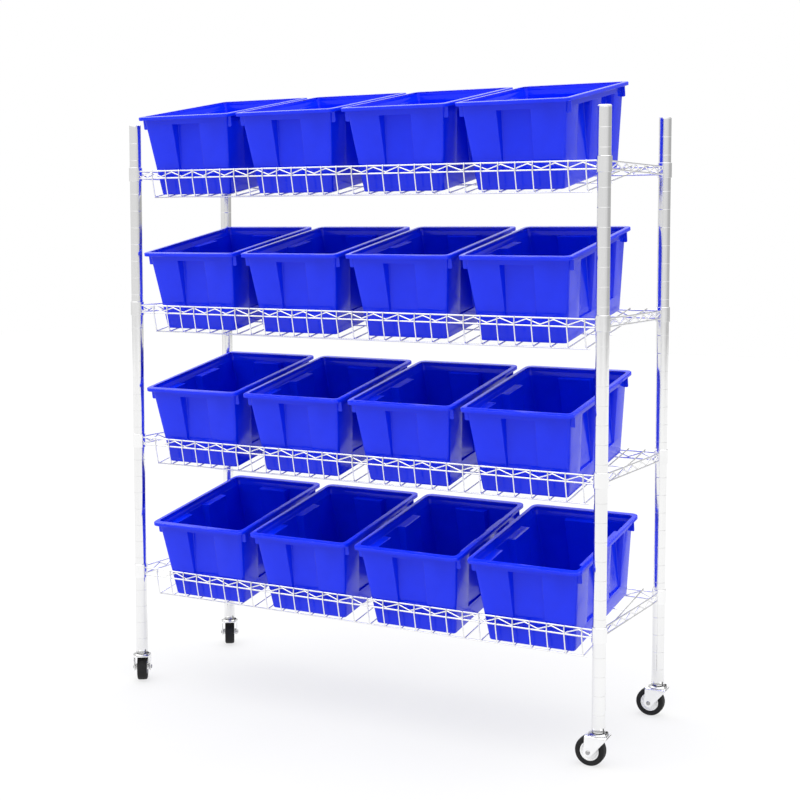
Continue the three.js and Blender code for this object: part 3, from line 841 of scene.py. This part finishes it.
def wheel_parts(name, wheel):
    """The riveted axle, the moulded hub and the tyre, turned about the wheel's own Z."""
    end = FORK_INNER + FORK_PLATE
    head = [(radius, end + height) for radius, height in scaled(RIVET_HEAD)]
    profile = [(radius, -height) for radius, height in head] + [(AXLE_RADIUS, -end), (AXLE_RADIUS, end)]
    rivet = turned(profile + head[::-1], 32, wheel)
    rivet.piece(f"{name}_rivet", BOLT_STEEL, "bolt_steel", f"{name}_swivel", [f"{name}_axle"])

    boss = FORK_INNER - HUB_END_GAP
    half = [(HUB_BORE, boss), (HUB_BOSS_END, boss)] + scaled(HUB_FACE) + [(HUB_RADIUS, HUB_SEAT)]
    hub = turned(mirrored(half), 64, wheel, closed=True)
    hub.piece(f"{name}_moulded_hub", HUB_PLASTIC, "hub_plastic", f"{name}_wheel", [f"{name}_hub"])

    half = scaled(TYRE_FACE) + [(WHEEL_RADIUS - 0.05 * MM, TREAD_HALF)]
    tyre = turned(mirrored(half), 96, wheel, closed=True)
    tyre.piece(f"{name}_moulded_tyre", TYRE_RUBBER, "tyre_rubber", f"{name}_wheel", [f"{name}_tyre"])


def raceway(name, under):
    """The domed ring under the post, in steel darkened as painted shade, and a near-black ring between
    them that paints the shade in the gap under the post.
    """
    low, high = RACEWAY_LOW, POST_BOTTOM - RACEWAY_UNDER_POST
    profile = [(RACEWAY_BORE, low), (26.4 * MM, low), (27.0 * MM, low + 0.5 * MM),
               (26.6 * MM, low + 1.2 * MM)]
    for t in (0.35, 0.6, 0.85):
        height = low + (high - low) * math.sin(t * math.pi / 2)
        profile.append((lerp(26.2, 18.6, t) * MM, height))
    profile += [(17.2 * MM, high), (RACEWAY_BORE, high)]
    race = turned(profile, 64, under, closed=True)
    race.piece(f"{name}_raceway_dome", SHADED_CASTER_STEEL, "caster_steel", "root", [f"{name}_raceway"])

    # a near-black ring in the gap under the post: painted shade
    foot, top = POST_BOTTOM - 1.3 * MM, POST_BOTTOM - 0.1 * MM
    profile = [(SHADE_RING_BORE, foot), (15.4 * MM, foot), (16.2 * MM, top), (SHADE_RING_BORE, top)]
    shade_ring = turned(profile, 48, under, closed=True)
    shade_ring.piece(f"{name}_washer", DARK_PLASTIC_AND_SHADE, "tyre_rubber", "root")


def stem(name, under):
    """The swivel's stem: a head under the crown, a flange under the post and a plug inside it."""
    plug, radius, flange = POST_RADIUS - POST_WALL - 0.4 * MM, 5.5 * MM, 10 * MM
    head, seat = CROWN_BOTTOM - 0.6 * MM, POST_BOTTOM
    profile = [(7 * MM, head - 2 * MM), (8 * MM, head - 1.2 * MM), (8 * MM, head), (radius, head),
               (radius, seat - 1 * MM), (flange, seat - 1 * MM), (flange, seat),
               (plug, seat + 0.4 * MM), (plug, seat + 40 * MM), (plug - 2 * MM, seat + 42 * MM)]
    turned(profile, 48, under).piece(f"{name}_stem_plug", CASTER_STEEL, "caster_steel", "root",
                                     [f"{name}_stem"])


def nipple(name, under):
    """A capped grease nipple on the raceway's edge."""
    lean = Matrix.Rotation(math.radians(14), 4, "Y")
    knob = under @ Matrix.Translation((21.5 * MM, 0, RACEWAY_LOW + 1.5 * MM)) @ lean
    fitting = turned(scaled(NIPPLE), 20, knob)
    fitting.piece(f"{name}_nipple", BOLT_STEEL, "bolt_steel", "root")
    cap = turned(scaled(NIPPLE_CAP), 20, knob)
    cap.piece(f"{name}_nipple_cap", DARK_PLASTIC_AND_SHADE, "tyre_rubber", "root")


def caster(corner):
    name = f"caster_{corner}"
    spin = next(j for j in frame["joints"] if j["name"] == f"{name}_spin")
    turn = Matrix.Rotation(-math.atan2(spin["axis"][0], spin["axis"][1]), 4, "Z")
    under = Matrix.Translation((POST_AT[corner].x, POST_AT[corner].y, 0))
    swivel = under @ turn

    shell = Shell()
    fork(shell, swivel)
    shell.piece(f"{name}_bent_fork", CASTER_STEEL, "caster_steel", f"{name}_swivel",
                [f"{name}_fork"], bevel=0.5 * MM)
    wheel_parts(name, swivel @ Matrix.Translation((-TRAIL, 0, WHEEL_RADIUS)) @ LAID)
    raceway(name, under)
    stem(name, under)
    nipple(name, under)


# ---------------------------------------------------------------- stage, light and camera

def area_light(name, at, aim, size, power):
    """A soft box that lights the cart without showing up in the chrome."""
    light = bpy.data.lights.new(name, "AREA")
    light.shape = "RECTANGLE"
    light.size, light.size_y = size
    light.energy = power
    obj = bpy.data.objects.new(name, light)
    obj.location = at
    obj.rotation_euler = (Vector(aim) - Vector(at)).to_track_quat("-Z", "Y").to_euler()
    obj.visible_glossy = False
    bpy.context.scene.collection.objects.link(obj)


def facing(tree, direction, aim):
    """How far a direction faces `aim`: 1 straight towards it, 0 straight away."""
    dot = tree.nodes.new("ShaderNodeVectorMath")
    dot.operation = "DOT_PRODUCT"
    dot.inputs[1].default_value = aim
    tree.links.new(direction, dot.inputs[0])
    half = tree.nodes.new("ShaderNodeMath")
    half.operation = "MULTIPLY_ADD"
    half.inputs[1].default_value = 0.5
    half.inputs[2].default_value = 0.5
    tree.links.new(dot.outputs["Value"], half.inputs[0])
    return half.outputs["Value"]


def studio():
    """A pale floor, a softly clouded world that is white behind the cart, and three soft boxes."""
    reach = FLOOR_REACH
    corners = [(-reach, -reach, 0), (reach, -reach, 0), (reach, reach, 0), (-reach, reach, 0)]
    mesh = bpy.data.meshes.new("floor")
    mesh.from_pydata(corners, [], [(0, 1, 2, 3)])
    mesh.materials.append(floor_paint())
    obj = bpy.data.objects.new("floor", mesh)
    obj.location = (0, 0, -0.2 * MM)
    bpy.context.scene.collection.objects.link(obj)

    world = bpy.data.worlds.new("studio")
    world.use_nodes = True
    bpy.context.scene.world = world
    tree = world.node_tree
    direction = tree.nodes.new("ShaderNodeTexCoord").outputs["Generated"]
    clouded = tree.nodes.new("ShaderNodeMath")
    clouded.operation = "MULTIPLY_ADD"
    tree.links.new(noise(tree, direction, 0.35, detail=1.0), clouded.inputs[0])
    clouded.inputs[1].default_value = 0.7
    tree.links.new(facing(tree, direction, WORLD_BRIGHT_TOWARDS), clouded.inputs[2])
    walls = ramp(tree, clouded.outputs["Value"], WORLD_DIM, WORLD_BRIGHT, 0.45, 1.0)
    share = ramp(tree, facing(tree, direction, BACKDROP_TOWARDS), 0.0, 1.0, 0.90, 0.965)
    split = tree.nodes.new("ShaderNodeSeparateXYZ")
    tree.links.new(direction, split.inputs["Vector"])
    overhead = ramp(tree, split.outputs["Z"], 0.0, 1.0, 0.45, 0.80)
    sides = blend_colours(tree, share, walls, (1, 1, 1))
    shade = blend_colours(tree, overhead, sides, (WORLD_ZENITH,) * 3)
    tree.links.new(shade, tree.nodes["Background"].inputs["Color"])

    for light in SOFT_BOXES:
        area_light(*light)


def camera():
    lens = bpy.data.cameras.new("camera")
    lens.lens = CAMERA_LENS
    lens.sensor_width = CAMERA_SENSOR
    lens.shift_x, lens.shift_y = CAMERA_SHIFT
    obj = bpy.data.objects.new("camera", lens)
    obj.location = Vector((MIDDLE.x, MIDDLE.y, cad_low.z)) + CAMERA_FROM_MIDDLE
    obj.rotation_euler = (math.radians(90 - CAMERA_DOWN), 0, math.radians(CAMERA_AZIMUTH))
    bpy.context.scene.collection.objects.link(obj)
    bpy.context.scene.camera = obj


for corner in CORNERS:
    post(corner)
    post_cap(corner)
    caster(corner)
for shelf in SHELVES:
    rim(shelf)
    mat(shelf)
    for corner in CORNERS:
        sleeve(shelf, corner)
totes()
studio()
camera()
bpy.context.scene.view_settings.view_transform = "Standard"
